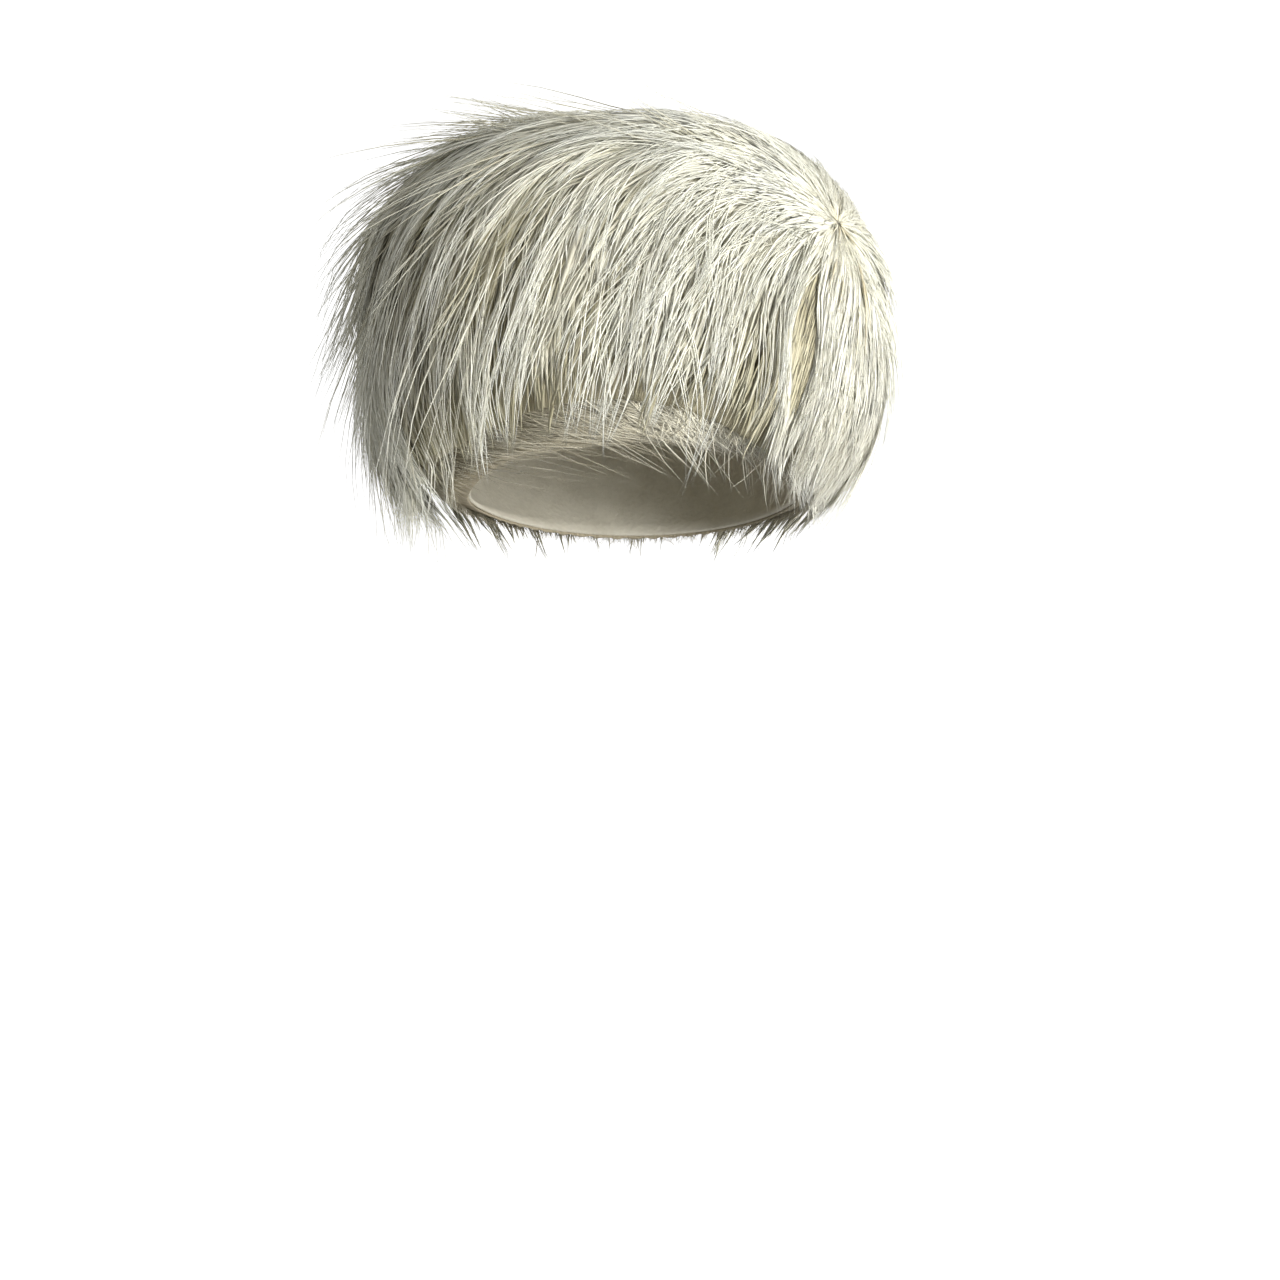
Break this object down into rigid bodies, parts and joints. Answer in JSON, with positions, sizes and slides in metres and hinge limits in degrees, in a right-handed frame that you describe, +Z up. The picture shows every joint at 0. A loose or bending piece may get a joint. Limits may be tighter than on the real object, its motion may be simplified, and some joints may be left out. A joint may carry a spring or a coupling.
{
  "type": "feather hat",
  "caption": "Rounded bubble hat of long ivory feathers that fan from a side whorl over a hollow felt base, with short feathers turned under the edge.",
  "frame": {"origin": "centre of the head opening, at the height of its edge over the ears", "axes": "+Z up through the crown, -Y the wearer's front, +X the side with the whorl (the wearer's left)"},
  "size_m": [0.2728, 0.2705, 0.198],
  "materials": {
    "feather": "ivory feather, soft sheen",
    "under_feather": "beige downy feather, matt",
    "felt": "pale felt, matt",
    "quill": "pale horn-like quill, satin"
  },
  "bodies": {
    "root": {"felt_crown": "felt", "felt_side_right": "felt", "felt_side_back": "felt", "felt_side_left": "felt", "felt_side_front": "felt", "felt_edge_right": "felt", "felt_edge_back": "felt", "felt_edge_left": "felt", "felt_edge_front": "felt", "whorl_knot": "quill", "right_front_lock": "feather", "right_lock": "feather", "right_back_lock": "feather", "back_right_lock": "feather", "back_lock": "feather", "back_left_lock": "feather", "crown_back_lock": "feather", "crown_left_lock": "feather", "left_back_lock": "feather", "left_lock": "feather", "left_front_lock": "feather", "front_left_lock": "feather", "front_sweep_left": "feather", "front_sweep_right": "feather", "front_parting_lock": "feather", "under_feathers_right": "under_feather", "under_feathers_back": "under_feather", "under_feathers_left": "under_feather", "under_feathers_front": "under_feather"}
  },
  "joints": []
}
